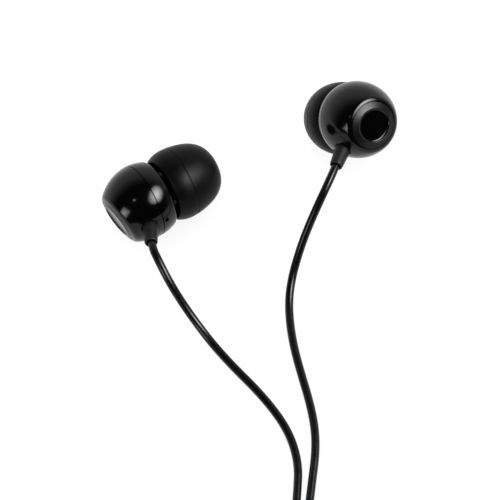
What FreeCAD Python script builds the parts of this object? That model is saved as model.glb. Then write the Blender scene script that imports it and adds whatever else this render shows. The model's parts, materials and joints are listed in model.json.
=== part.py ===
import FreeCAD, Part
import math
import os

# Wired in-ear earphones, in millimetres, lying on a floor at Z = 0 with +Z up.
# Every bud is drawn about its own axis: x runs from the driver to the ear tip, x = 0 is the
# widest plane of the housing, and y is the side on which the cable leaves.

# ---- bud: housing ----
housingR = 6.42           # widest radius of the housing
domeArcR = 8.16           # radius of the arc that the rear dome is turned from
seamHalfGap = 0.08        # half of the open line between front and rear housing
seamX = 0.2
shoulderX = 2.45          # crease where the front housing turns in towards the nozzle
shoulderR = 6.0
frontX = 3.3              # front face of the housing
frontR = 5.3
cavityR = 5.65            # inside of the rear dome
cavityDepth = 4.0         # flat end of the cavity, behind the end cap
spigotX = -0.5            # the front housing's lip reaches this far into the rear housing
spigotR = 5.5
driverSeatR = 5.0         # bore of the front housing that takes the driver
driverSeatX = 1.9         # ledge that the driver is clamped against

# ---- bud: end cap, tilted sideways from the bud axis and mirrored between the buds ----
capTilt = 12.0
capTurn = 77.35           # side of the tilt, measured round the axis from the cable's side
capPlane = 5.33           # distance of the cap's rim from the centre of the housing
capR = 3.94
capBoreR = 3.3
capFlange = 0.55
dishR = 2.85
dishDepth = 0.34
lipWidth = 0.35          # the dish drops by a hollow lip first and is nearly flat inside it
lipDepth = 0.22
capClearance = 0.04

# ---- bud: nozzle and ear tip ----
nozzleR = 2.25
barbR = 2.40
nozzleEnd = 10.4
nozzleBoreR = 1.45
meshR = 1.83
meshThick = 0.26
tipBoreR = 2.43
tipCoreR = 3.1
tipR = 6.16               # widest radius of the ear tip
tipRimX = 4.05
tipRimR = 5.49
tipWideX = 6.39
tipFrontX = 13.76
tipSoundR = 1.6
tipCoreRear = 4.6

# ---- bud: driver ----
frameR = 4.95
yokeR = 2.9
yokeBoreR = 2.1
yokeRear = -2.6
yokeFloor = 0.5
plateR = 1.55
plateFront = -0.2
plateThick = 0.55
coilInnerR = 1.72
coilOuterR = 1.92
coilTop = 0.88
coilBottom = -0.75
boardRear = -0.95
boardFront = -0.6

# ---- bud: strain relief, on a line that leans back from the bud axis ----
reliefLean = 62.0         # between the relief and the rearward axis
reliefRootX = -2.3
reliefRootR = 6.05
reliefSocketR = 1.5
reliefRootRadius = 1.3
reliefEndRadius = 1.06
reliefLength = 3.7
reliefNeckR = 0.95
reliefFlangeR = 1.25
ventX = 0.85
ventR = 0.4
feltR = 0.7

# ---- how the two buds lie ----
buds = {
    "left": {"x": -17.67, "y": -6.15, "heading": 32.7, "pitch": -2.3, "roll": 16.2, "side": -1},
    "right": {"x": 17.93, "y": 5.96, "heading": 124.6, "pitch": -51.6, "roll": 205.8, "side": 1},
}

# ---- cables ----
branchD = 1.4
trunkD = 2.0
stubStart = -2.1          # the cable inside the bud, along the relief's line
stubEnd = 1.0
crimpR = 0.8
crimpLength = 0.7
routeLead = 0.7           # the free cable's first bend, this far past the relief

# ---- the cable that is put away: two coils, each held by a tie ----
tieThick = 0.5
tieWidth = 3.0
tieGap = 0.15
branchCoilCentre = (0.0, -94.0)
branchColumns = (7.6, 9.1)
branchRise = 4.5          # three turns, a cable's width each
trunkCoilCentre = (-4.45, -131.0)
trunkColumns = (8.5, 12.6)
trunkRise = 8.2           # four turns in each of three columns

# Points of the free stretches, after the two that lie on each strain relief's own line.
leftRoute = [
    (-14.8, -19.4, 9.2), (-13.1, -22.2, 7.4), (-10.85, -24.6, 4.2), (-8.5, -27.1, 1.9),
    (-5.9, -30.3, 0.75), (-2.5, -34.5, 0.7), (1.0, -38.4, 0.7), (3.9, -42.2, 0.7),
    (6.0, -45.7, 0.7), (7.3, -49.2, 0.7), (7.95, -53.0, 0.7), (7.75, -57.2, 0.7),
    (7.35, -62.2, 0.7), (7.2, -69.8, 1.3), (7.2, -84.8, 1.3), (7.6, -94.0, 1.2),
]
rightRoute = [
    (12.5, -7.5, 12.6), (10.8, -10.3, 10.0), (9.25, -12.8, 7.0), (8.0, -15.4, 4.2),
    (7.0, -18.4, 2.0), (6.5, -22.0, 0.9), (6.7, -26.5, 0.7), (7.4, -31.1, 0.7),
    (8.5, -35.7, 0.7), (9.8, -40.7, 0.7), (10.7, -45.7, 0.7), (10.75, -50.3, 0.7),
    (10.15, -55.3, 0.7), (9.45, -61.4, 0.7), (9.2, -69.8, 1.3), (9.2, -84.8, 1.3),
    (9.1, -94.0, 1.2),
]
leftTail = [
    (7.6, -94.0, 5.7), (7.65, -98.6, 5.2), (7.5, -103.0, 3.4), (7.35, -107.0, 1.9), (7.3, -110.6, 1.6),
]
rightTail = [
    (9.1, -94.0, 5.7), (9.05, -98.6, 5.2), (9.1, -103.0, 3.4), (9.2, -107.0, 1.9), (9.3, -110.6, 1.6),
]
trunkRoute = [(8.3, -118.5, 1.6), (8.25, -124.7, 1.55), (8.15, -131.0, 1.5)]
trunkTail = [
    (-10.46, -124.99, 9.95), (-7.3, -121.8, 11.5), (-3.4, -117.5, 11.9), (0.6, -113.0, 11.2),
    (5.2, -109.6, 9.8), (10.6, -108.6, 8.0), (15.4, -110.6, 6.0), (18.6, -114.7, 4.1),
    (19.7, -119.6, 2.9), (19.7, -124.6, 2.8),
]

# ---- slider and splitter ----
pairX = 8.2               # middle of the two cables where they run side by side
pairSpacing = 2.0
sliderSize = (5.6, 6.0, 2.6)
sliderY = -83.3
sliderHoleR = 0.85
splitterX = 8.3
splitterStart = -109.0    # end that the two branches enter
splitterLength = 12.0
splitterWide = 5.6
splitterNarrow = 3.8
splitterThick = 3.2

# ---- 3.5 mm plug, its axis along -Y ----
plugX = 19.7
plugZ = 2.8
plugReliefY = -122.0
plugReliefLength = 6.0
plugBodyLength = 11.0
plugBodyR = 2.75
pinR = 1.75
pinLength = 14.0
sleeveEnd = 5.0
ringStart = 5.6
ringEnd = 8.0
tipStart = 8.6
rodR = 0.6
insulatorR = 0.85
pinRoot = -4.0            # the contacts reach this far into the moulded body
rootR = 1.5               # and are this wide there

vec = FreeCAD.Vector
xAxis = vec(1, 0, 0)


def outline(steps):
    """Closed wire in the XY plane. A step is a point for a straight side, or a pair
    (middle, end) for an arc."""
    edges = []
    here = vec(*steps[0], 0)
    for step in steps[1:] + [steps[0]]:
        if isinstance(step[0], tuple):
            middle = vec(*step[0], 0)
            there = vec(*step[1], 0)
            edges.append(Part.Arc(here, middle, there).toShape())
        else:
            there = vec(*step, 0)
            if (there - here).Length < 1e-7:
                continue
            edges.append(Part.LineSegment(here, there).toShape())
        here = there
    return Part.Wire(edges)


def turned(steps, angle=360):
    """Solid turned about x from an outline of (x, radius) points."""
    solid = Part.Face(outline(steps)).revolve(vec(0, 0, 0), xAxis, angle)
    if solid.Volume < 0:
        solid.reverse()
    return solid


def rod(start, direction, radius, length):
    return Part.makeCylinder(radius, length, start, direction)


def ontoAxis(start, apexX):
    """Arc step from a point to the axis at apexX, part of a sphere centred on the axis."""
    depth = start[0] - apexX
    radius = (start[1] ** 2 + depth ** 2) / (2 * depth)
    half = math.asin(start[1] / abs(radius)) / 2
    return (apexX + radius - radius * math.cos(half), abs(radius) * math.sin(half)), (apexX, 0)


def onDome(x):
    """Radius of the rear dome's arc at x."""
    return math.sqrt(domeArcR ** 2 - x ** 2) - (domeArcR - housingR)


def capTurned(shape, side):
    """Tilts a shape drawn along -x to the end cap's own axis."""
    tilt = math.radians(capTilt)
    turn = math.radians(capTurn)
    axis = vec(-math.cos(tilt), math.sin(tilt) * math.cos(turn), -side * math.sin(tilt) * math.sin(turn))
    moved = shape.copy()
    moved.Placement = FreeCAD.Placement(vec(0, 0, 0), FreeCAD.Rotation(vec(-1, 0, 0), axis))
    return moved


def reliefLine():
    """Root of the strain relief and its direction, in the bud's own axes."""
    lean = math.radians(reliefLean)
    return vec(reliefRootX, reliefRootR, 0), vec(-math.cos(lean), math.sin(lean), 0)


def alongRelief(shape):
    """Moves a shape drawn along x to the strain relief's line."""
    root, direction = reliefLine()
    moved = shape.copy()
    moved.Placement = FreeCAD.Placement(root, FreeCAD.Rotation(xAxis, direction))
    return moved


def rearHousing(side):
    rimFront = 1.6
    dome = turned([
        (rimFront, 0),
        (rimFront, onDome(rimFront)),
        ((-2.0, onDome(-2.0)), (-4.75, onDome(-4.75))),
        ((-5.14, 4.53), (-capPlane, capR + 0.08)),
        (-capPlane, 0),
    ])
    cavity = turned([
        (rimFront + 0.1, 0),
        (rimFront + 0.1, math.sqrt(cavityR ** 2 - (rimFront + 0.1) ** 2)),
        ((-1.5, math.sqrt(cavityR ** 2 - 1.5 ** 2)), (-cavityDepth, math.sqrt(cavityR ** 2 - cavityDepth ** 2))),
        (-cavityDepth, 0),
    ])
    seatX = -capPlane + capFlange
    capSeat = turned([
        (-capPlane - 1, 0),
        (-capPlane - 1, capR + capClearance),
        (seatX, capR + capClearance),
        (seatX, capBoreR + capClearance),
        (-cavityDepth + 0.5, capBoreR + capClearance),
        (-cavityDepth + 0.5, 0),
    ])
    shell = capTurned(dome, side).cut(capTurned(cavity, side)).cut(capTurned(capSeat, side))
    beyondSeam = Part.makeBox(10, 20, 20, vec(seamX - seamHalfGap, -10, -10))
    socket = alongRelief(rod(vec(-0.45, 0, 0), xAxis, reliefSocketR, 3))
    neckHole = alongRelief(rod(vec(-3, 0, 0), xAxis, reliefNeckR + 0.04, 5))
    return shell.cut(beyondSeam).cut(socket).cut(neckHole)


def endCap(side):
    rimX = -capPlane - 0.27
    cap = turned([
        (-cavityDepth - 0.1, 0),
        (-cavityDepth - 0.1, capBoreR),
        (-capPlane + capFlange, capBoreR),
        (-capPlane + capFlange, capR),
        (-capPlane + 0.04, capR),
        (-capPlane, capR - 0.04),
        (rimX, dishR + 0.14),
        ((rimX - 0.02, dishR + 0.07), (rimX + 0.02, dishR)),
        ((rimX + 0.16, dishR - 0.153), (rimX + lipDepth, dishR - lipWidth)),
        ontoAxis((rimX + lipDepth, dishR - lipWidth), rimX + dishDepth),
    ])
    return capTurned(cap, side)


def frontHousing():
    shell = turned([
        (spigotX, driverSeatR),
        (spigotX, spigotR),
        (seamX + seamHalfGap, spigotR),
        (seamX + seamHalfGap, housingR),
        ((1.35, 6.31), (shoulderX, shoulderR)),
        ((2.98, 5.74), (frontX, frontR)),
        (frontX, 4.8),
        (3.55, 3.2),
        ((3.75, 2.5), (4.3, nozzleR)),
        (9.0, nozzleR),
        (9.1, barbR),
        (9.7, barbR),
        (nozzleEnd, nozzleR - 0.1),
        (nozzleEnd, meshR + 0.02),
        (nozzleEnd - meshThick - 0.02, meshR + 0.02),
        (nozzleEnd - meshThick - 0.02, nozzleBoreR),
        (3.1, nozzleBoreR),
        ((2.5, 2.3), (2.3, 3.9)),
        (driverSeatX, 4.2),
        (driverSeatX, driverSeatR),
    ])
    hole = rod(vec(ventX, 4, 0), vec(0, 1, 0), ventR, 4)
    pocket = rod(vec(ventX, 4, 0), vec(0, 1, 0), feltR + 0.03, 1.55)
    return shell.cut(hole).cut(pocket)


def nozzleMesh():
    mesh = rod(vec(nozzleEnd - meshThick, 0, 0), xAxis, meshR, meshThick - 0.02)
    for row, count in ((0.0, 1), (0.62, 6), (1.22, 12)):
        for k in range(count):
            turn = 2 * math.pi * k / count
            start = vec(nozzleEnd - 1, row * math.cos(turn), row * math.sin(turn))
            mesh = mesh.cut(rod(start, xAxis, 0.17, 2))
    return mesh


def nozzleDamper():
    return rod(vec(8.9, 0, 0), xAxis, nozzleBoreR - 0.02, 1.0)


def earTip():
    return turned([
        (tipCoreRear, tipBoreR),
        (nozzleEnd + 0.1, tipBoreR),
        (nozzleEnd + 0.4, tipSoundR),
        (tipFrontX - 0.2, tipSoundR),
        ((tipFrontX, tipSoundR + 0.12), (tipFrontX, tipSoundR + 0.35)),
        ((13.1, 3.75), (11.6, 5.03)),
        ((9.2, 5.9), (tipWideX, tipR)),
        ((5.2, 5.97), (tipRimX, tipRimR)),
        ((tipRimX - 0.02, tipRimR - 0.25), (tipRimX + 0.1, tipRimR - 0.45)),
        ((5.3, 5.4), (tipWideX, 5.58)),
        ((9.0, 5.33), (11.0, 4.5)),
        ((11.7, 3.9), (11.5, tipCoreR)),
        (tipCoreRear + 0.2, tipCoreR),
        (tipCoreRear, tipCoreR - 0.2),
    ])


def gasket():
    return turned([(1.6, 4.2), (driverSeatX, 4.2), (driverSeatX, 4.9), (1.6, 4.9)])


def driverGrille():
    disc = rod(vec(1.36, 0, 0), xAxis, 4.9, 0.24)
    for row, count in ((0.0, 1), (1.6, 6), (3.1, 12)):
        for k in range(count):
            turn = 2 * math.pi * k / count
            start = vec(1, row * math.cos(turn), row * math.sin(turn))
            disc = disc.cut(rod(start, xAxis, 0.42, 1))
    return disc


def diaphragm():
    return turned([
        (1.12, 0),
        (1.12, 0.3),
        ((1.06, 1.1), (0.9, 1.92)),
        ((0.70, 2.9), (0.94, 3.85)),
        (0.94, 4.25),
        (1.02, 4.25),
        (1.02, 3.85),
        ((0.78, 2.9), (0.98, 1.95)),
        ((1.14, 1.1), (1.2, 0.3)),
        (1.2, 0),
    ])


def voiceCoil():
    return turned([
        (coilBottom, coilInnerR),
        (coilTop, coilInnerR),
        (coilTop, coilOuterR),
        (coilBottom, coilOuterR),
    ])


def driverFrame():
    return turned([
        (boardFront, yokeR + 0.02),
        (boardFront, frameR),
        (1.36, frameR),
        (1.36, 4.45),
        (0.72, 4.45),
        (0.72, 4.05),
        (-0.1, 3.3),
        (-0.1, yokeR + 0.02),
    ])


def topPlate():
    return rod(vec(plateFront - plateThick, 0, 0), xAxis, plateR, plateThick)


def magnet():
    rear = yokeRear + yokeFloor
    return rod(vec(rear, 0, 0), xAxis, plateR - 0.05, plateFront - plateThick - rear)


def yoke():
    return turned([
        (yokeRear, 0),
        (yokeRear, yokeR),
        (plateFront, yokeR),
        (plateFront, yokeBoreR),
        (yokeRear + yokeFloor, yokeBoreR),
        (yokeRear + yokeFloor, 0),
    ])


def terminalBoard():
    board = turned([(boardRear, 3.2), (boardFront, 3.2), (boardFront, 4.6), (boardRear, 4.6)], 70)
    board.rotate(vec(0, 0, 0), xAxis, 40)
    return board


def ventFelt():
    return rod(vec(ventX, 5.03, 0), vec(0, 1, 0), feltR, 0.45)


def strainRelief():
    bore = branchD / 2 + 0.03
    sleeve = turned([
        (-1.5, bore),
        (-1.5, reliefFlangeR),
        (-1.1, reliefFlangeR),
        (-1.1, reliefNeckR),
        (-0.4, reliefNeckR),
        (-0.4, reliefRootRadius),
        (0.4, reliefRootRadius),
        (reliefLength - 0.12, reliefEndRadius + 0.02),
        ((reliefLength - 0.03, reliefEndRadius), (reliefLength, reliefEndRadius - 0.1)),
        (reliefLength, bore + 0.06),
        (reliefLength - 0.5, bore),
    ])
    return alongRelief(sleeve)


def cableAnchor():
    """The cable's end inside the bud, with the crimp that stops it pulling out."""
    anchor = turned([
        (stubStart, 0),
        (stubStart, crimpR),
        (stubStart + crimpLength, crimpR),
        (stubStart + crimpLength, branchD / 2),
        (stubEnd, branchD / 2),
        (stubEnd, 0),
    ])
    return alongRelief(anchor)


def leadWires():
    root, direction = reliefLine()
    cableEnd = root + direction * stubStart
    wires = []
    for offset, padTurn in ((0.3, 46.0), (-0.3, 56.0)):
        turn = math.radians(padTurn)
        pad = vec(boardRear - 0.12, 3.9 * math.cos(turn), 3.9 * math.sin(turn))
        start = cableEnd + vec(0, 0, offset) - direction * 0.02
        path = pad - start
        wires.append(rod(start, path, 0.11, path.Length))
    return Part.Compound(wires)


def budPlacement(bud, height):
    """Rotation that lays a bud's own axes down in the part, and its centre."""
    heading = math.radians(bud["heading"])
    pitch = math.radians(bud["pitch"])
    roll = math.radians(bud["roll"])
    forward = vec(math.cos(pitch) * math.cos(heading), math.cos(pitch) * math.sin(heading), math.sin(pitch))
    level = vec(math.sin(heading), -math.cos(heading), 0)
    upward = level.cross(forward)
    cableSide = level * math.cos(roll) + upward * math.sin(roll)
    rotation = FreeCAD.Rotation(forward, cableSide, forward.cross(cableSide), "XYZ")
    return FreeCAD.Placement(vec(bud["x"], bud["y"], height), rotation)


def roundedPath(points, diameter, name):
    """Straight runs joined by tangent arcs, each as large as its two runs allow."""
    nodes = [vec(*point) for point in points]
    edges = []
    radii = []
    here = nodes[0]
    for before, corner, after in zip(nodes, nodes[1:], nodes[2:]):
        incoming = corner - before
        outgoing = after - corner
        half = incoming.getAngle(outgoing) / 2
        reach = 0.45 * min(incoming.Length, outgoing.Length)
        arcStart = corner - incoming.normalize() * reach
        arcEnd = corner + outgoing.normalize() * reach
        radius = reach / math.tan(half)
        inward = (arcStart + arcEnd) * 0.5 - corner
        inward.normalize()
        middle = corner + inward * (radius / math.cos(half) - radius)
        edges.append(Part.LineSegment(here, arcStart).toShape())
        edges.append(Part.Arc(arcStart, middle, arcEnd).toShape())
        radii.append(radius)
        here = arcEnd
    edges.append(Part.LineSegment(here, nodes[-1]).toShape())
    path = Part.Wire(edges)
    print(name, "length", round(path.Length, 1), "smallest radius", round(min(radii) / diameter, 1), "diameters")
    return path


def tube(points, diameter, name):
    path = roundedPath(points, diameter, name)
    start = vec(*points[0])
    along = vec(*points[1]) - start
    section = Part.Wire(Part.Circle(start, along, diameter / 2).toShape())
    solid = Part.Solid(path.makePipeShell([section], True, True))
    if solid.Volume < 0:
        solid.reverse()
    expected = math.pi * diameter ** 2 / 4 * path.Length
    print(name, "volume against section x length", round(solid.Volume / expected, 4), solid.isValid())
    return solid


def coil(centre, columns, diameter, rise):
    """One closed ring with the outer shape of a tied coil."""
    inner = columns[0] - diameter / 2
    outer = columns[-1] + diameter / 2
    bottom = vec(centre[0], centre[1], tieThick)
    ring = Part.makeCylinder(outer, rise + diameter, bottom).cut(Part.makeCylinder(inner, rise + diameter, bottom))
    return ring


def tie(centre, columns, diameter, rise):
    """A band round the coil's section, on the side away from where the cable comes in."""
    wrapInner = math.sqrt((columns[0] - diameter / 2) ** 2 - (tieWidth / 2) ** 2) - tieGap
    wrapOuter = columns[-1] + diameter / 2 + tieGap
    left = centre[0] - wrapOuter
    front = centre[1] - tieWidth / 2
    height = rise + diameter + tieGap
    wide = wrapOuter - wrapInner
    outside = Part.makeBox(wide + 2 * tieThick, tieWidth, height + 2 * tieThick, vec(left - tieThick, front, 0))
    outside = outside.makeFillet(0.45, [e for e in outside.Edges if abs(e.tangentAt(e.FirstParameter).y) > 0.9])
    return outside.cut(Part.makeBox(wide, tieWidth, height, vec(left, front, tieThick)))


def slider():
    wide, long, thick = sliderSize
    block = Part.makeBox(wide, long, thick, vec(pairX - wide / 2, sliderY, 0))
    block = block.makeFillet(0.9, [e for e in block.Edges if abs(e.tangentAt(e.FirstParameter).y) > 0.9])
    for side in (-1, 1):
        hole = rod(vec(pairX + side * pairSpacing / 2, sliderY - 1, thick / 2), vec(0, 1, 0), sliderHoleR, long + 2)
        block = block.cut(hole)
    return block


def splitter():
    """Moulded wedge: two branches go in at the wide end and the trunk leaves the narrow one."""
    end = splitterStart - splitterLength
    corners = [
        vec(splitterX - splitterWide / 2, splitterStart, 0),
        vec(splitterX + splitterWide / 2, splitterStart, 0),
        vec(splitterX + splitterNarrow / 2, end, 0),
        vec(splitterX - splitterNarrow / 2, end, 0),
    ]
    block = Part.Face(Part.makePolygon(corners + [corners[0]])).extrude(vec(0, 0, splitterThick))
    block = block.makeFillet(0.8, [e for e in block.Edges if abs(e.tangentAt(e.FirstParameter).y) > 0.9])
    for cableEnd in (leftTail[-1], rightTail[-1]):
        block = block.cut(rod(vec(*cableEnd), vec(0, 1, 0), branchD / 2, 5))
    return block.cut(rod(vec(*trunkRoute[0]), vec(0, -1, 0), trunkD / 2, 5))


def alongPlug(shape, y):
    """Lays a shape drawn along x down on the plug's axis, x pointing to -Y."""
    moved = shape.copy()
    moved.Placement = FreeCAD.Placement(vec(plugX, y, plugZ), FreeCAD.Rotation(xAxis, vec(0, -1, 0)))
    return moved


def plugParts():
    bodyY = plugReliefY - plugReliefLength
    faceY = bodyY - plugBodyLength
    cableEnd = plugReliefY - trunkTail[-1][1]
    relief = turned([
        (0, trunkD / 2),
        (0, trunkD / 2 + 0.4),
        (plugReliefLength - 0.1, 2.1),
        (plugReliefLength + 2.0, 2.1),
        (plugReliefLength + 2.0, 0),
        (cableEnd, 0),
        (cableEnd, trunkD / 2),
    ])
    body = turned([
        (0, 2.12),
        (0, 2.35),
        ((0.12, 2.6), (0.5, plugBodyR)),
        (plugBodyLength - 1.2, plugBodyR),
        ((plugBodyLength - 0.3, 2.62), (plugBodyLength, 2.3)),
        (plugBodyLength, rootR),
        (plugBodyLength + pinRoot, rootR),
        (plugBodyLength + pinRoot, 0),
        (2.0, 0),
        (2.0, 2.12),
    ])
    sleeve = turned([
        (pinRoot, insulatorR),
        (pinRoot, rootR),
        (0, rootR),
        (0, pinR),
        (sleeveEnd, pinR),
        (sleeveEnd, insulatorR),
    ])
    ring = turned([(ringStart, insulatorR), (ringStart, pinR), (ringEnd, pinR), (ringEnd, insulatorR)])
    insulator = turned([
        (pinRoot, rodR),
        (pinRoot, insulatorR),
        (sleeveEnd, insulatorR),
        (sleeveEnd, pinR),
        (ringStart, pinR),
        (ringStart, insulatorR),
        (ringEnd, insulatorR),
        (ringEnd, pinR),
        (tipStart, pinR),
        (tipStart, rodR),
    ])
    tip = turned([
        (pinRoot, 0),
        (pinRoot, rodR),
        (tipStart, rodR),
        (tipStart, pinR),
        (9.6, pinR),
        (10.5, 1.2),
        (11.4, 1.62),
        ((13.0, 1.25), (pinLength, 0.35)),
        (pinLength, 0),
    ])
    return {
        "plug_strain_relief": alongPlug(relief, plugReliefY),
        "plug_body": alongPlug(body, bodyY),
        "plug_sleeve_contact": alongPlug(sleeve, faceY),
        "plug_ring_contact": alongPlug(ring, faceY),
        "plug_insulator": alongPlug(insulator, faceY),
        "plug_tip_contact": alongPlug(tip, faceY),
    }


def budParts(side):
    return {
        "rear_housing": rearHousing(side),
        "end_cap": endCap(side),
        "front_housing": frontHousing(),
        "nozzle_mesh": nozzleMesh(),
        "nozzle_damper": nozzleDamper(),
        "ear_tip": earTip(),
        "gasket": gasket(),
        "driver_grille": driverGrille(),
        "diaphragm": diaphragm(),
        "voice_coil": voiceCoil(),
        "driver_frame": driverFrame(),
        "top_plate": topPlate(),
        "magnet": magnet(),
        "yoke": yoke(),
        "terminal_board": terminalBoard(),
        "vent_felt": ventFelt(),
        "strain_relief": strainRelief(),
        "cable_anchor": cableAnchor(),
        "lead_wires": leadWires(),
    }


def restingHeight(bud, shapes):
    """Height of the bud's centre at which its lowest point just meets the floor."""
    placement = budPlacement(bud, 0)
    lowest = 0
    for name in ("rear_housing", "front_housing", "ear_tip"):
        shape = shapes[name].copy()
        shape.Placement = placement.multiply(shape.Placement)
        lowest = min(lowest, shape.optimalBoundingBox(False, False).ZMin)
    return -lowest


def cableRoute(placement, route):
    root, direction = reliefLine()
    start = placement.multVec(root + direction * stubEnd)
    bend = placement.multVec(root + direction * (reliefLength + routeLead))
    print("route starts", [round(c, 2) for c in start], [round(c, 2) for c in bend])
    exit = placement.multVec(root + direction * reliefLength)
    print("cable leaves the relief at", [round(c, 3) for c in exit], "axis", [round(c, 4) for c in placement.Rotation.multVec(direction)])
    return [tuple(start), tuple(bend)] + route


parts = {}
for budName, bud in buds.items():
    shapes = budParts(bud["side"])
    placement = budPlacement(bud, restingHeight(bud, shapes))
    print(budName, "centre", [round(c, 3) for c in placement.Base], "axis",
          [round(c, 4) for c in placement.Rotation.multVec(xAxis)])
    for name, shape in shapes.items():
        shape.Placement = placement.multiply(shape.Placement)
        parts[budName + "_" + name] = shape
    route = cableRoute(placement, leftRoute if budName == "left" else rightRoute)
    parts[budName + "_cable"] = tube(route, branchD, budName + "_cable")

parts["left_cable_tail"] = tube(leftTail, branchD, "left_cable_tail")
parts["right_cable_tail"] = tube(rightTail, branchD, "right_cable_tail")
parts["branch_coil"] = coil(branchCoilCentre, branchColumns, branchD, branchRise)
parts["branch_tie"] = tie(branchCoilCentre, branchColumns, branchD, branchRise)
parts["cable_slider"] = slider()
parts["y_splitter"] = splitter()
parts["trunk_cable"] = tube(trunkRoute, trunkD, "trunk_cable")
parts["trunk_coil"] = coil(trunkCoilCentre, trunkColumns, trunkD, trunkRise)
parts["trunk_tail"] = tube(trunkTail, trunkD, "trunk_tail")
parts["trunk_tie"] = tie(trunkCoilCentre, trunkColumns, trunkD, trunkRise)
parts.update(plugParts())

os.makedirs("parts", exist_ok=True)
for name, shape in parts.items():
    if not shape.isValid():
        print("not valid:", name)
    shape.exportStep("parts/" + name + ".step")
print(len(parts), "nodes")
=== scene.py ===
import json
import math
import bmesh
import bpy
from mathutils import Matrix, Vector

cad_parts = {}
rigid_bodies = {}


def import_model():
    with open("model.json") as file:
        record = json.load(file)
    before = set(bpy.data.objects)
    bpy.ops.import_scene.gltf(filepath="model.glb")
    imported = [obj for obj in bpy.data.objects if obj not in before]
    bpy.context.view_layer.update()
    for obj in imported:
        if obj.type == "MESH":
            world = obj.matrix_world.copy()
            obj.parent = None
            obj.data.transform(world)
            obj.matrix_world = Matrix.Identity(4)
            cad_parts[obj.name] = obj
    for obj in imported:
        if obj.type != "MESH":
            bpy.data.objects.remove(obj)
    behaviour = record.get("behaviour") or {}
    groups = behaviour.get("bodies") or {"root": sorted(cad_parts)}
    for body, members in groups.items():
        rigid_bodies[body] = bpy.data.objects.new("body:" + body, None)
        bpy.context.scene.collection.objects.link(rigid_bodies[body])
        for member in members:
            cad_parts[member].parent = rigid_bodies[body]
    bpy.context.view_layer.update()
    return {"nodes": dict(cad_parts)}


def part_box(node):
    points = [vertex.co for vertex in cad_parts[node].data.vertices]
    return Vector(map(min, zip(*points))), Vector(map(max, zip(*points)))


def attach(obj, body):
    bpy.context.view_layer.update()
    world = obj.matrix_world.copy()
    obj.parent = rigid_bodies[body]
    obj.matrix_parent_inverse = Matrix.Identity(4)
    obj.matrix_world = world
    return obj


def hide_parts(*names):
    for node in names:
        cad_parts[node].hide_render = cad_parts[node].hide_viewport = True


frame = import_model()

mm = 0.001
sharpAngle = 40                    # degrees between faces, past which an edge is shown sharp


# small helpers

def linear(hexColor):
    # sRGB hex to the linear colour that a shader takes
    parts = [int(hexColor[i:i + 2], 16) / 255 for i in (1, 3, 5)]
    return [c / 12.92 if c <= 0.04045 else ((c + 0.055) / 1.055) ** 2.4 for c in parts] + [1.0]


def addNode(tree, kind, settings=None, **links):
    # one node: settings are its own fields, links are values or sockets for its inputs
    node = tree.nodes.new(kind)
    for field, value in (settings or {}).items():
        setattr(node, field, value)
    for name, value in links.items():
        socket = node.inputs[int(name[1:])] if name[0] == "i" and name[1:].isdigit() else node.inputs[name]
        if isinstance(value, bpy.types.NodeSocket):
            tree.links.new(value, socket)
        else:
            socket.default_value = value
    return node


def newMaterial(name, color, roughness, metallic=0.0, ior=1.5, **more):
    material = bpy.data.materials.new(name)
    material.use_nodes = True
    tree = material.node_tree
    shader = tree.nodes["Principled BSDF"]
    shader.inputs["Base Color"].default_value = linear(color)
    shader.inputs["Roughness"].default_value = roughness
    shader.inputs["Metallic"].default_value = metallic
    shader.inputs["IOR"].default_value = ior
    for field, value in more.items():
        shader.inputs[field.replace("_", " ")].default_value = value
    material.diffuse_color = linear(color)
    return material, tree, shader


def setMaterial(objects, material):
    for piece in objects:
        piece.data.materials.clear()
        piece.data.materials.append(material)


def asObject(name, bm, smooth=True):
    bmesh.ops.recalc_face_normals(bm, faces=bm.faces)
    mesh = bpy.data.meshes.new(name)
    bm.to_mesh(mesh)
    bm.free()
    for face in mesh.polygons:
        face.use_smooth = smooth
    if smooth:
        mesh.set_sharp_from_angle(angle=math.radians(sharpAngle))
    piece = bpy.data.objects.new(name, mesh)
    bpy.context.scene.collection.objects.link(piece)
    return piece


def bend(start, middle, end, steps):
    # points on a smooth bend through three points
    parts = [k / steps for k in range(steps + 1)]
    return [tuple(a * (1 - t) * (1 - 2 * t) + b * 4 * t * (1 - t) + c * t * (2 * t - 1)
                  for a, b, c in zip(start, middle, end)) for t in parts]


def lathe(name, outline, place, steps):
    # a closed outline of (x, radius) in mm, turned about x and laid down by a matrix
    bm = bmesh.new()
    verts = [bm.verts.new((x * mm, r * mm, 0)) for x, r in outline]
    for a, b in zip(verts, verts[1:] + verts[:1]):
        bm.edges.new((a, b))
    bmesh.ops.spin(bm, geom=bm.verts[:] + bm.edges[:], axis=(1, 0, 0), cent=(0, 0, 0),
                   angle=math.tau, steps=steps, use_merge=True)
    bmesh.ops.remove_doubles(bm, verts=bm.verts, dist=0.002 * mm)     # closes the poles
    bmesh.ops.transform(bm, matrix=place, verts=bm.verts)
    return asObject(name, bm)


def put(piece, body, slotName, *nodes):
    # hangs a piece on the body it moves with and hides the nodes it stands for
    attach(piece, body)
    if nodes:
        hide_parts(*nodes)
    return piece


# camera: long lens, looking down at the floor from in front
camera = {"distance": 760, "elevation": 60, "width": 83.3, "x": 0.1, "y": -11.8, "sensor": 36.0,
          "clip": (0.01, 20)}


def makeCamera():
    data = bpy.data.cameras.new("camera")
    data.sensor_width = camera["sensor"]
    data.lens = camera["sensor"] * camera["distance"] / camera["width"]
    data.clip_start, data.clip_end = camera["clip"]
    view = bpy.data.objects.new("camera", data)
    up = math.radians(camera["elevation"])
    back = Vector((0, -math.cos(up), math.sin(up)))
    view.location = (Vector((camera["x"], camera["y"], 0)) + back * camera["distance"]) * mm
    view.rotation_euler = (math.pi / 2 - up, 0, 0)
    bpy.context.scene.collection.objects.link(view)
    bpy.context.scene.camera = view


makeCamera()
print("camera ready")

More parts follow.
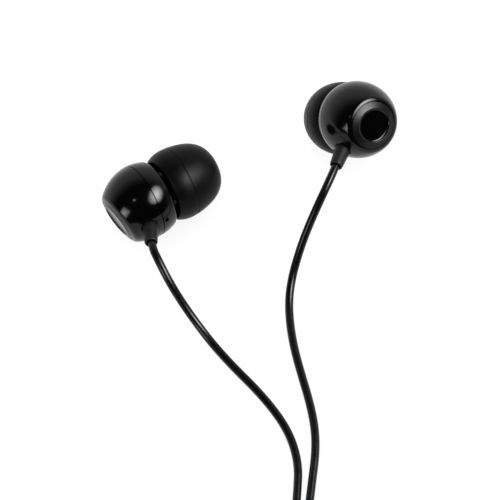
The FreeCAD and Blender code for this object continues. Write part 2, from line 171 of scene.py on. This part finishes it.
# floor and light
studio = {
    "floor": 2400,                 # mm
    "floorColor": "#868686",       # low, because the floor mostly shines by itself like a light table
    "floorGlow": 0.84,
    "floorRoughness": 0.95,
    "roomLight": 1.12,             # what lights the matt surfaces, the same from all sides
    "ceiling": (0.0, -0.766, 0.643),   # middle of the dark part of the room, seen only in gloss
    "ceilingEdge": (0.42, -0.34),      # cosines from it where the dark ends and the full light begins
    "lampStep": 4,                 # mm between the lamps of one set
    "gloss": (0.006, 0.95),        # how bright the two parts are in a reflection
    # direction from the buds, distance and size in mm, power in W, and the steps of the soft edge
    "lamps": [
        {"name": "windowBox", "way": (0.593, -0.131, 0.793), "far": 520, "size": (540, 380), "power": 2.6,
         "steps": 6},
        {"name": "sideBox", "way": (-0.65, -0.66, 0.38), "far": 520, "size": (210, 200), "power": 0.7,
         "steps": 2},
        {"name": "smallBox", "way": (-0.337, -0.371, 0.866), "far": 520, "size": (46, 36), "power": 0.05,
         "steps": 1},
    ],
}


def makeWorld():
    # white paper all round and a dark ceiling, which the polished plastic shows as its black middle
    world = bpy.data.worlds.new("studio")
    world.use_nodes = True
    tree = world.node_tree
    matt = tree.nodes["Background"]
    matt.inputs["Color"].default_value = (1, 1, 1, 1)
    matt.inputs["Strength"].default_value = studio["roomLight"]
    place = addNode(tree, "ShaderNodeTexCoord")
    facing = addNode(tree, "ShaderNodeVectorMath", {"operation": "DOT_PRODUCT"},
                     i0=place.outputs["Generated"], i1=studio["ceiling"])
    fade = addNode(tree, "ShaderNodeMapRange", {"interpolation_type": "SMOOTHSTEP"},
                   i0=facing.outputs["Value"], i1=studio["ceilingEdge"][1], i2=studio["ceilingEdge"][0],
                   i3=studio["gloss"][1], i4=studio["gloss"][0])
    sheen = addNode(tree, "ShaderNodeBackground", None, Color=(1, 1, 1, 1), Strength=fade.outputs[0])
    path = addNode(tree, "ShaderNodeLightPath")
    both = addNode(tree, "ShaderNodeMixShader", None, i0=path.outputs["Is Glossy Ray"],
                   i1=matt.outputs[0], i2=sheen.outputs[0])
    tree.links.new(both.outputs[0], tree.nodes["World Output"].inputs["Surface"])
    bpy.context.scene.world = world


def makeStudio():
    bm = bmesh.new()
    bmesh.ops.create_grid(bm, x_segments=1, y_segments=1, size=studio["floor"] / 2 * mm)
    floor = asObject("floor", bm, smooth=False)
    material, tree, shader = newMaterial("paleFloor", studio["floorColor"], studio["floorRoughness"])
    shader.inputs["Specular IOR Level"].default_value = 0.0
    shader.inputs["Emission Color"].default_value = (1, 1, 1, 1)
    shader.inputs["Emission Strength"].default_value = studio["floorGlow"]
    setMaterial([floor], material)
    makeWorld()
    for lamp in studio["lamps"]:
        way = Vector(lamp["way"]).normalized()
        for step in range(lamp["steps"]):      # smaller lamps in front of larger ones, for a soft edge
            share = 1 - step / lamp["steps"]
            data = bpy.data.lights.new(lamp["name"], "AREA")
            data.shape = "ELLIPSE" if lamp["steps"] > 2 else "RECTANGLE"
            data.size = lamp["size"][0] * share * mm
            data.size_y = lamp["size"][1] * share * mm
            data.energy = lamp["power"] * share ** 2
            light = bpy.data.objects.new(lamp["name"], data)
            light.location = way * (lamp["far"] - studio["lampStep"] * step) * mm
            light.rotation_euler = way.to_track_quat("Z", "Y").to_euler()
            light.visible_diffuse = False
            bpy.context.scene.collection.objects.link(light)
    bpy.context.scene.view_settings.view_transform = "Standard"


makeStudio()
print("studio ready")

# how each bud lies: the same numbers as in the design, its centre read from the gasket's box
budLay = {
    "left": {"heading": 32.7, "pitch": -2.3, "roll": 16.2},
    "right": {"heading": 124.6, "pitch": -51.6, "roll": 205.8},
}
gasketX = 1.75


def budFrame(side):
    lay = {key: math.radians(value) for key, value in budLay[side].items()}
    forward = Vector((math.cos(lay["pitch"]) * math.cos(lay["heading"]),
                      math.cos(lay["pitch"]) * math.sin(lay["heading"]), math.sin(lay["pitch"])))
    level = Vector((math.sin(lay["heading"]), -math.cos(lay["heading"]), 0))
    cableSide = level * math.cos(lay["roll"]) + level.cross(forward) * math.sin(lay["roll"])
    low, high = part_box(side + "_gasket")
    centre = (low + high) / 2 - forward * gasketX * mm
    turn = Matrix((forward, cableSide, forward.cross(cableSide))).transposed().to_4x4()
    return Matrix.Translation(centre) @ turn


budFrames = {side: budFrame(side) for side in budLay}

# cables, in mm: the same points as the design's tubes
branch = {
    "diameter": 1.4, "coilCentre": (0.0, -94.0), "coilBottom": 1.2, "coilRise": 1.5, "turns": 3,
    "left": {
        "radius": 7.6,
        "start": [(-16.34, -13.21, 8.49), (-16.09, -16.47, 9.39)],
        "route": [
            (-14.8, -19.4, 9.2), (-13.1, -22.2, 7.4), (-10.85, -24.6, 4.2), (-8.5, -27.1, 1.9),
            (-5.9, -30.3, 0.75), (-2.5, -34.5, 0.7), (1.0, -38.4, 0.7), (3.9, -42.2, 0.7),
            (6.0, -45.7, 0.7), (7.3, -49.2, 0.7), (7.95, -53.0, 0.7), (7.75, -57.2, 0.7),
            (7.35, -62.2, 0.7), (7.2, -69.8, 1.3), (7.2, -84.8, 1.3),
        ],
        "tail": [(7.65, -98.6, 5.2), (7.5, -103.0, 3.4), (7.35, -107.0, 1.9), (7.3, -110.6, 1.6)],
        "exit": (-16.14, -15.8, 9.21), "length": 0.27,
    },
    "right": {
        "radius": 9.1,
        "start": [(15.11, -0.95, 12.9), (14.03, -4.14, 13.34)],
        "route": [
            (12.5, -7.5, 12.6), (10.8, -10.3, 10.0), (9.25, -12.8, 7.0), (8.0, -15.4, 4.2),
            (7.0, -18.4, 2.0), (6.5, -22.0, 0.9), (6.7, -26.5, 0.7), (7.4, -31.1, 0.7),
            (8.5, -35.7, 0.7), (9.8, -40.7, 0.7), (10.7, -45.7, 0.7), (10.75, -50.3, 0.7),
            (10.15, -55.3, 0.7), (9.45, -61.4, 0.7), (9.2, -69.8, 1.3), (9.2, -84.8, 1.3),
        ],
        "tail": [(9.05, -98.6, 5.2), (9.1, -103.0, 3.4), (9.2, -107.0, 1.9), (9.3, -110.6, 1.6)],
        "exit": (14.25, -3.48, 13.25), "length": 0.27,
    },
}
trunk = {
    "diameter": 2.0, "coilCentre": (-4.45, -131.0), "coilBottom": 1.5, "coilRise": 2.05,
    "columns": (12.6, 10.55, 8.5), "turns": (4, 4, 4.125), "shift": 0.25,
    "start": [(8.3, -118.5, 1.6), (8.25, -124.7, 1.55)],
    "tail": [
        (-7.3, -121.8, 11.5), (-3.4, -117.5, 11.9), (0.6, -113.0, 11.2), (5.2, -109.6, 9.8),
        (10.6, -108.6, 8.0), (15.4, -110.6, 6.0), (18.6, -114.7, 4.1), (19.7, -119.6, 2.9),
        (19.7, -124.6, 2.8),
    ],
    "exit": (8.3, -121.0, 1.6), "length": 0.9,
}
coilPoints = 16                    # control points for each turn
coilSwell = 4 / (3 + math.cos(math.tau / coilPoints))   # the spline runs this much inside them


def coilPoint(centre, radius, turn, height):
    angle = -math.tau * turn       # clockwise from the side where the cable comes in
    reach = radius * coilSwell
    return (centre[0] + reach * math.cos(angle), centre[1] + reach * math.sin(angle), height)


def branchCoil(radius):
    count = branch["turns"] * coilPoints
    return [coilPoint(branch["coilCentre"], radius, k / coilPoints,
                      branch["coilBottom"] + branch["coilRise"] * k / coilPoints) for k in range(count + 1)]


def trunkCoil():
    # up the outer column, down the middle one, up the inner one, level while it steps inwards
    points = []
    turn = 0.0
    height = trunk["coilBottom"]
    for number, (radius, turns) in enumerate(zip(trunk["columns"], trunk["turns"])):
        rise = trunk["coilRise"] * (-1 if number == 1 else 1) / coilPoints
        for k in range(int(turns * coilPoints) + 1):
            points.append(coilPoint(trunk["coilCentre"], radius, turn + k / coilPoints, height + rise * k))
        turn += turns
        height += rise * turns * coilPoints
        if number < 2:
            step = trunk["columns"][number + 1] - radius
            inside = int(trunk["shift"] * coilPoints)
            for k in range(1, inside):
                points.append(coilPoint(trunk["coilCentre"], radius + step * k / inside,
                                        turn + k / coilPoints, height))
            turn += trunk["shift"]
    return points


def makeCable(name, points, diameter):
    data = bpy.data.curves.new(name, "CURVE")
    data.dimensions = "3D"
    spline = data.splines.new("NURBS")
    spline.points.add(len(points) - 1)
    for point, place in zip(spline.points, points):
        point.co = (*(Vector(place) * mm), 1)
        point.radius = diameter / 2 * mm
    spline.order_u = 3
    spline.use_endpoint_u = True
    spline.resolution_u = 8
    data.bevel_depth = 1.0         # each point's radius is the cable's own
    data.bevel_resolution = 6
    data.use_fill_caps = True
    cable = bpy.data.objects.new(name, data)
    bpy.context.scene.collection.objects.link(cable)
    return cable


def makeCables():
    cables = {}
    for side in ("left", "right"):
        lay = branch[side]
        points = lay["start"] + lay["route"] + branchCoil(lay["radius"]) + lay["tail"]
        cable = makeCable(side + "BranchCable", points, branch["diameter"])
        nodes = [side + "_cable", side + "_cable_tail"] + (["branch_coil"] if side == "left" else [])
        cables[side] = put(cable, "root", "cable", *nodes)
    cable = makeCable("trunkCable", trunk["start"] + trunkCoil() + trunk["tail"], trunk["diameter"])
    cables["trunk"] = put(cable, "root", "cable", "trunk_cable", "trunk_coil", "trunk_tail")
    return cables


cables = makeCables()
print("cables laid")

# end caps: a conical ring, a rounded lip and a nearly flat dish, tilted against the bud's own axis
endCap = {
    "tilt": 12.0, "turn": 77.35,   # degrees
    "outline": [                   # (x, radius) in mm along the cap's axis, the outside towards -x
        (-4.1, 0), (-4.1, 3.3), (-4.78, 3.3), (-4.78, 3.94),
        *bend((-5.29, 3.94), (-5.318, 3.928), (-5.33, 3.9), 2),        # outer edge of the ring
        (-5.338, 3.87), (-5.59, 3.02),                                 # keep the ring straight between
        *bend((-5.6, 2.99), (-5.62, 2.92), (-5.58, 2.85), 4)[:-1],     # inner edge of the ring
        *bend((-5.58, 2.85), (-5.44, 2.697), (-5.38, 2.5), 8)[:-1],    # hollow lip
        *bend((-5.38, 2.5), (-5.29, 1.25), (-5.26, 0), 6),             # dish
    ],
    "steps": 128,
}


def capFrame(side):
    tilt = math.radians(endCap["tilt"])
    turn = math.radians(endCap["turn"]) * (-1 if side == "left" else 1)
    way = Vector((math.cos(tilt), -math.sin(tilt) * math.cos(turn), math.sin(tilt) * math.sin(turn)))
    across = way.cross(Vector((0, 0, 1))).normalized()
    turned = Matrix((way, across, way.cross(across))).transposed().to_4x4()
    return budFrames[side] @ turned


for side in budLay:
    cap = lathe(side + "CapMoulding", endCap["outline"], capFrame(side), endCap["steps"])
    put(cap, "root", "end_cap", side + "_end_cap")
print("end caps made")

# ear tips: one moulding each, open at the rear like an umbrella, with a core that grips the nozzle
earTip = {
    "outline": [                   # (x, radius) in mm along the bud's own axis
        (13.76, 1.78), (13.74, 2.15), (13.6, 2.75), (13.3, 3.4), (12.85, 4.0), (12.3, 4.52), (11.6, 5.0),
        (10.8, 5.38), (9.9, 5.68), (9.0, 5.9), (8.1, 6.05), (7.45, 6.12),
        (7.27, 6.125), (7.22, 6.07), (7.18, 6.07), (7.13, 6.135),
        (6.9, 6.15), (6.3, 6.16), (5.6, 6.08), (5.0, 5.93), (4.45, 5.7), (4.14, 5.52), (4.03, 5.38),
        (4.03, 5.2), (4.16, 5.08), (4.6, 5.2), (5.3, 5.42), (6.4, 5.56), (8.0, 5.48), (9.6, 5.14),
        (10.8, 4.55),
        (11.45, 3.95), (11.62, 3.5), (11.45, 3.12), (10.9, 3.08), (8.0, 3.08), (5.0, 3.08), (4.68, 3.0),
        (4.6, 2.8), (4.6, 2.5), (4.7, 2.43), (7.0, 2.43), (10.3, 2.43), (10.55, 2.36), (10.8, 1.7),
        (11.0, 1.6),
        (12.4, 1.6), (13.5, 1.6), (13.7, 1.66),
    ],
    "steps": 72, "levels": 1,
    "nub": {"x": 7.2, "radius": 6.1, "turn": 24, "size": 0.2},   # where the mould's gate was
}


def makeEarTip(side):
    tip = lathe(side + "EarTip", earTip["outline"], budFrames[side], earTip["steps"])
    nub = earTip["nub"]
    turn = math.radians(nub["turn"]) * (1 if side == "left" else -1)
    place = Vector((nub["x"], nub["radius"] * math.cos(turn), nub["radius"] * math.sin(turn))) * mm
    bm = bmesh.new()
    bm.from_mesh(tip.data)
    bmesh.ops.create_icosphere(bm, subdivisions=2, radius=nub["size"] * mm,
                               matrix=budFrames[side] @ Matrix.Translation(place))
    for face in bm.faces:
        face.smooth = True
    bm.to_mesh(tip.data)
    bm.free()
    subdivide = tip.modifiers.new("smooth", "SUBSURF")
    subdivide.levels = earTip["levels"]
    subdivide.render_levels = earTip["levels"]
    put(tip, side + "_ear_tip", "ear_tip", side + "_ear_tip")


for side in budLay:
    makeEarTip(side)
print("ear tips made")

# strain reliefs: a short tapered sleeve that sits in a socket in the rear housing
strainRelief = {
    "root": (-2.3, 6.05), "lean": 62.0,
    "outline": [                   # (x, radius) in mm along the sleeve
        (-1.5, 0.73), (-1.5, 1.22), (-1.1, 1.22), (-1.1, 0.94), (-0.4, 0.94), (-0.4, 1.26), (-0.34, 1.3),
        (0.45, 1.3), (0.6, 1.29), (1.4, 1.235), (2.4, 1.165), (3.2, 1.11), (3.5, 1.075), (3.62, 1.03),
        (3.69, 0.95), (3.7, 0.88), (3.66, 0.82), (3.5, 0.78), (3.1, 0.74),
    ],
    "steps": 64,
}


def reliefFrame(side):
    lean = math.radians(strainRelief["lean"])
    way = Vector((-math.cos(lean), math.sin(lean), 0))
    turn = Matrix((way, Vector((-way.y, way.x, 0)), Vector((0, 0, 1)))).transposed().to_4x4()
    root = Vector((*strainRelief["root"], 0)) * mm
    return budFrames[side] @ Matrix.Translation(root) @ turn


for side in budLay:
    sleeve = lathe(side + "StrainRelief", strainRelief["outline"], reliefFrame(side), strainRelief["steps"])
    put(sleeve, "root", "boot", side + "_strain_relief")
print("strain reliefs made")

# plug: ribbed boot over the cable's end
plugBoot = {
    "x": 19.7, "start": -122.0, "z": 2.8,      # where the cable goes in, in mm
    "length": 6.0, "shank": 1.95,              # the ribbed part, and the plain part inside the plug's body
    "bore": 1.0, "rear": 1.35, "front": 2.1, "shankRadius": 2.08, "edge": 0.12,
    "ribs": 4, "margin": 0.3,
    "groove": [(0.55, 0), (0.65, 0.22), (0.9, 0.22), (1, 0)],      # share of a rib's length, depth in mm
    "steps": 56,
}


def makePlugBoot():
    length, rear, front = plugBoot["length"], plugBoot["rear"], plugBoot["front"]
    pitch = (length - 2 * plugBoot["margin"]) / plugBoot["ribs"]
    outline = [(0, plugBoot["bore"]), (0, rear - plugBoot["edge"]), (plugBoot["edge"], rear)]
    for rib in range(plugBoot["ribs"]):
        for share, depth in plugBoot["groove"]:
            x = plugBoot["margin"] + pitch * (rib + share)
            outline.append((x, rear + (front - rear) * x / length - depth))
    end = length + plugBoot["shank"]
    outline += [(length, front), (end, plugBoot["shankRadius"]), (end, plugBoot["bore"])]
    place = Matrix.Translation(Vector((plugBoot["x"], plugBoot["start"], plugBoot["z"])) * mm)
    turn = Matrix(((0, 1, 0), (-1, 0, 0), (0, 0, 1))).to_4x4()     # the outline's x runs along -y
    boot = lathe("plugBoot", outline, place @ turn, plugBoot["steps"])
    return put(boot, "root", "boot", "plug_strain_relief")


boot = makePlugBoot()

# splitter: a moulded wedge with a sunk panel on top
splitter = {
    "x": 8.3, "start": -109.0, "length": 12.0, "wide": 5.6, "narrow": 3.8, "thick": 3.2,
    "edge": 0.75, "edgeSteps": 5, "panel": 0.7, "sunk": 0.18,      # the panel's margin and depth
}


def makeSplitter():
    bm = bmesh.new()
    bmesh.ops.create_cube(bm, size=1)
    size = Vector((splitter["wide"], splitter["length"], splitter["thick"])) * mm
    bmesh.ops.scale(bm, vec=size, verts=bm.verts)
    taper = splitter["narrow"] / splitter["wide"]
    bmesh.ops.scale(bm, vec=(taper, 1, 1), verts=[v for v in bm.verts if v.co.y < 0])
    bmesh.ops.bevel(bm, geom=bm.edges[:], offset=splitter["edge"] * mm, segments=splitter["edgeSteps"],
                    profile=0.5, affect="EDGES", material=-1)
    top = max(bm.faces, key=lambda face: face.calc_center_median().z)
    bmesh.ops.inset_region(bm, faces=[top], thickness=splitter["panel"] * mm, depth=0)
    bmesh.ops.inset_region(bm, faces=[top], thickness=splitter["sunk"] * mm, depth=-splitter["sunk"] * mm)
    middle = Vector((splitter["x"], splitter["start"] - splitter["length"] / 2, splitter["thick"] / 2)) * mm
    bmesh.ops.translate(bm, vec=middle, verts=bm.verts)
    return put(asObject("moldedSplitter", bm), "root", "boot", "y_splitter")


wedge = makeSplitter()

# ties: a flat strap round the coil's section with a small square head on top
tie = {
    "wall": 0.5, "corner": 0.45, "cornerSteps": 4,
    "head": (3.4, 3.4, 1.5), "headEdge": 0.35, "headSteps": 3,
    "headLift": 0.2,               # the head's middle above the strap
}


def makeTie(name, node):
    low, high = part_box(node)
    bm = bmesh.new()
    bmesh.ops.create_cube(bm, size=1)
    bmesh.ops.scale(bm, vec=high - low, verts=bm.verts)
    along = [e for e in bm.edges if abs((e.verts[0].co - e.verts[1].co).normalized().y) > 0.9]
    bmesh.ops.bevel(bm, geom=along, offset=tie["corner"] * mm, segments=tie["cornerSteps"],
                    profile=0.5, affect="EDGES", material=-1)
    ends = [f for f in bm.faces if abs(f.normal.y) > 0.9]
    bmesh.ops.delete(bm, geom=ends, context="FACES_ONLY")
    bmesh.ops.translate(bm, vec=(low + high) / 2, verts=bm.verts)
    bmesh.ops.recalc_face_normals(bm, faces=bm.faces)
    bmesh.ops.solidify(bm, geom=bm.faces[:], thickness=tie["wall"] * mm)
    head = bmesh.ops.create_cube(bm, size=1)["verts"]
    bmesh.ops.scale(bm, vec=Vector(tie["head"]) * mm, verts=head)
    above = Vector(((low.x + high.x) / 2, (low.y + high.y) / 2, high.z + tie["headLift"] * mm))
    bmesh.ops.translate(bm, vec=above, verts=head)
    edges = {e for v in head for e in v.link_edges}
    bmesh.ops.bevel(bm, geom=list(edges), offset=tie["headEdge"] * mm, segments=tie["headSteps"],
                    profile=0.5, affect="EDGES", material=-1)
    return put(asObject(name, bm), "root", "tie", node)


branchStrap = makeTie("branchStrap", "branch_tie")
trunkStrap = makeTie("trunkStrap", "trunk_tie")
print("cable fittings made")


# finishes: color and tint are the two ends of the colour's own variation, blotch its size in mm;
# grain is the size of the surface's texture and height its depth, both in mm. Real grain is mostly
# under 0.05 mm and is drawn coarser, so that it shows
finishes = {
    # injection-moulded ABS from a polished steel mould: near black, wet-looking, barely uneven
    "polishedAbs": {"color": "#020202", "tint": "#050506", "blotch": 3.0, "roughness": (0.11, 0.14),
                    "grain": 1.6, "height": 0.0022, "ior": 1.54, "Specular_IOR_Level": 0.2},
    # the same ABS from a spark-textured mould: softer shine, fine grain
    "satinAbs": {"color": "#070708", "tint": "#0c0c0e", "blotch": 2.0, "roughness": (0.26, 0.36),
                 "grain": 0.22, "height": 0.006, "ior": 1.54, "Specular_IOR_Level": 0.28},
    # liquid silicone, cured in a satin mould: soft dark grey bloom, no clear reflections
    "mouldedSilicone": {"color": "#040405", "tint": "#09090a", "blotch": 1.6, "roughness": (0.35, 0.45),
                        "grain": 0.2, "height": 0.006, "ior": 1.41, "Specular_IOR_Level": 0.1},
    # soft TPE moulded over the cable: matt, faintly pebbled
    "mouldedTpe": {"color": "#0c0c0d", "tint": "#131314", "blotch": 0.9, "roughness": (0.44, 0.58),
                   "grain": 0.18, "height": 0.007, "ior": 1.48, "Specular_IOR_Level": 0.22},
    # TPE drawn through a die: smooth along its length, a narrow line of shine
    "extrudedTpe": {"color": "#060607", "tint": "#0a0a0b", "blotch": 1.2, "roughness": (0.17, 0.27),
                    "grain": 0.35, "height": 0.003, "ior": 1.5, "Specular_IOR_Level": 0.22},
    # photo-etched stainless sheet: pale, crisp, slightly mottled between the holes
    "etchedSteel": {"color": "#a9abad", "tint": "#c4c6c8", "blotch": 0.35, "roughness": (0.25, 0.4),
                    "grain": 0.12, "height": 0.003, "metallic": 1.0},
    # open-cell foam and pressed felt: dark, dull, full of pores
    "openFoam": {"color": "#1d1d1e", "tint": "#3a3a3b", "blotch": 0.25, "roughness": (0.85, 0.97),
                 "grain": 0.16, "height": 0.06, "cells": True},
    # die-cut rubber sheet: dead matt
    "cutRubber": {"color": "#151516", "tint": "#202021", "blotch": 0.5, "roughness": (0.7, 0.85),
                  "grain": 0.12, "height": 0.01},
    # thin polyester film: pale amber, shiny, with a faint ripple
    "polyesterFilm": {"color": "#b9a987", "tint": "#cbbd9d", "blotch": 0.8, "roughness": (0.1, 0.2),
                      "grain": 0.5, "height": 0.004, "ior": 1.64},
    # enamelled wire: warm red-brown metal under clear lacquer
    "enamelledCopper": {"color": "#b0603a", "tint": "#c87a4c", "blotch": 0.3, "roughness": (0.2, 0.32),
                        "grain": 0.1, "height": 0.006, "metallic": 1.0, "Coat_Weight": 0.6},
    # glass-filled moulding inside the bud: dark grey, dry-looking
    "filledNylon": {"color": "#232326", "tint": "#303034", "blotch": 0.7, "roughness": (0.48, 0.62),
                    "grain": 0.15, "height": 0.008, "ior": 1.53},
    # zinc plate on pressed steel: cool silver, slightly clouded
    "zincPlate": {"color": "#a8adb2", "tint": "#c0c4c8", "blotch": 0.6, "roughness": (0.28, 0.42),
                  "grain": 0.2, "height": 0.003, "metallic": 1.0},
    # nickel plate over the magnet: brighter and warmer than the zinc
    "nickelPlate": {"color": "#b9b5ab", "tint": "#cfcbc2", "blotch": 0.9, "roughness": (0.12, 0.2),
                    "grain": 0.4, "height": 0.001, "metallic": 1.0},
    # green lacquer on a glass board
    "solderMask": {"color": "#0e4a26", "tint": "#15602f", "blotch": 0.5, "roughness": (0.22, 0.34),
                   "grain": 0.14, "height": 0.005, "ior": 1.55},
    # turned brass under thin gold: deep yellow, faint tool marks
    "goldPlate": {"color": "#e0b45a", "tint": "#ebc473", "blotch": 0.8, "roughness": (0.13, 0.22),
                  "grain": 0.12, "height": 0.002, "metallic": 1.0},
    # black nylon rings between the contacts: dull beside the gold
    "turnedNylon": {"color": "#101011", "tint": "#1a1a1b", "blotch": 0.3, "roughness": (0.4, 0.5),
                    "grain": 0.1, "height": 0.004, "ior": 1.53},
    # nylon strap: semi-matt, slightly milky black
    "strapNylon": {"color": "#141416", "tint": "#1e1e20", "blotch": 1.1, "roughness": (0.38, 0.5),
                   "grain": 0.3, "height": 0.006, "ior": 1.53},
}


noiseReach = (0.3, 0.7)            # the part of a noise's range that is really reached


def makeFinish(name, finish):
    more = {key: value for key, value in finish.items() if key[0].isupper()}
    material, tree, shader = newMaterial(name, finish["color"], finish["roughness"][0],
                                         finish.get("metallic", 0.0), finish.get("ior", 1.5), **more)
    place = addNode(tree, "ShaderNodeTexCoord").outputs["Object"]
    slow = addNode(tree, "ShaderNodeTexNoise", None, Vector=place, Scale=1 / (finish["blotch"] * mm),
                   Detail=3.0).outputs[0]
    kind = "ShaderNodeTexVoronoi" if finish.get("cells") else "ShaderNodeTexNoise"
    fine = addNode(tree, kind, None, Vector=place, Scale=1 / (finish["grain"] * mm)).outputs[0]
    tint = addNode(tree, "ShaderNodeMix", {"data_type": "RGBA"}, i0=slow,
                   i6=linear(finish["color"]), i7=linear(finish["tint"]))
    tree.links.new(tint.outputs[2], shader.inputs["Base Color"])
    shine = addNode(tree, "ShaderNodeMapRange", None, i0=slow, i1=noiseReach[0], i2=noiseReach[1],
                    i3=finish["roughness"][0], i4=finish["roughness"][1])
    tree.links.new(shine.outputs[0], shader.inputs["Roughness"])
    bump = addNode(tree, "ShaderNodeBump", None, Height=fine, Distance=finish["height"] * mm)
    tree.links.new(bump.outputs[0], shader.inputs["Normal"])
    return material, tree, shader


made = {name: makeFinish(name, finish)[0] for name, finish in finishes.items()}

# end caps: polished inside the dish, satin on the ring round it
capShine = {"lip": 2.93, "blend": 0.08, "ring": 0.3, "dish": 0.1}    # radius and blend in mm, two roughnesses


def makeCapFinish(side):
    axis = capFrame(side).to_3x3() @ Vector((1, 0, 0))
    material, tree, shader = makeFinish(side + "CapAbs", finishes["polishedAbs"])
    place = addNode(tree, "ShaderNodeTexCoord").outputs["Object"]
    offset = addNode(tree, "ShaderNodeVectorMath", {"operation": "SUBTRACT"}, i0=place,
                     i1=budFrames[side].to_translation())
    across = addNode(tree, "ShaderNodeVectorMath", {"operation": "CROSS_PRODUCT"},
                     i0=offset.outputs[0], i1=axis)
    radius = addNode(tree, "ShaderNodeVectorMath", {"operation": "LENGTH"}, i0=across.outputs[0])
    lip, blend = capShine["lip"] * mm, capShine["blend"] * mm
    ring = addNode(tree, "ShaderNodeMapRange", None, i0=radius.outputs["Value"], i1=lip - blend,
                   i2=lip + blend, i3=capShine["dish"], i4=capShine["ring"])
    tree.links.new(ring.outputs[0], shader.inputs["Roughness"])
    return material


# which finish each kind of part takes
partFinish = {
    "rear_housing": "polishedAbs", "front_housing": "polishedAbs", "nozzle_mesh": "etchedSteel",
    "driver_grille": "etchedSteel", "nozzle_damper": "openFoam", "vent_felt": "openFoam",
    "gasket": "cutRubber", "diaphragm": "polyesterFilm", "voice_coil": "enamelledCopper",
    "lead_wires": "enamelledCopper",
    "driver_frame": "filledNylon", "top_plate": "zincPlate", "yoke": "zincPlate", "magnet": "nickelPlate",
    "terminal_board": "solderMask", "cable_anchor": "extrudedTpe", "cable_slider": "satinAbs",
    "plug_body": "satinAbs", "plug_sleeve_contact": "goldPlate", "plug_ring_contact": "goldPlate",
    "plug_tip_contact": "goldPlate", "plug_insulator": "turnedNylon",
}
pieceFinish = {"EarTip": "mouldedSilicone", "StrainRelief": "mouldedTpe", "plugBoot": "mouldedTpe",
               "moldedSplitter": "mouldedTpe", "Strap": "strapNylon", "Cable": "extrudedTpe"}
for node, part in frame["nodes"].items():
    for ending, name in partFinish.items():
        if node.endswith(ending):
            setMaterial([part], made[name])
for piece in list(bpy.context.scene.objects):
    for ending, name in pieceFinish.items():
        if piece.name.endswith(ending) and piece.type in ("MESH", "CURVE"):
            setMaterial([piece], made[name])
for side in budLay:
    capFinish = makeCapFinish(side)
    setMaterial([frame["nodes"][side + "_end_cap"], bpy.data.objects[side + "CapMoulding"]], capFinish)
print("finishes given")

bpy.context.view_layer.update()
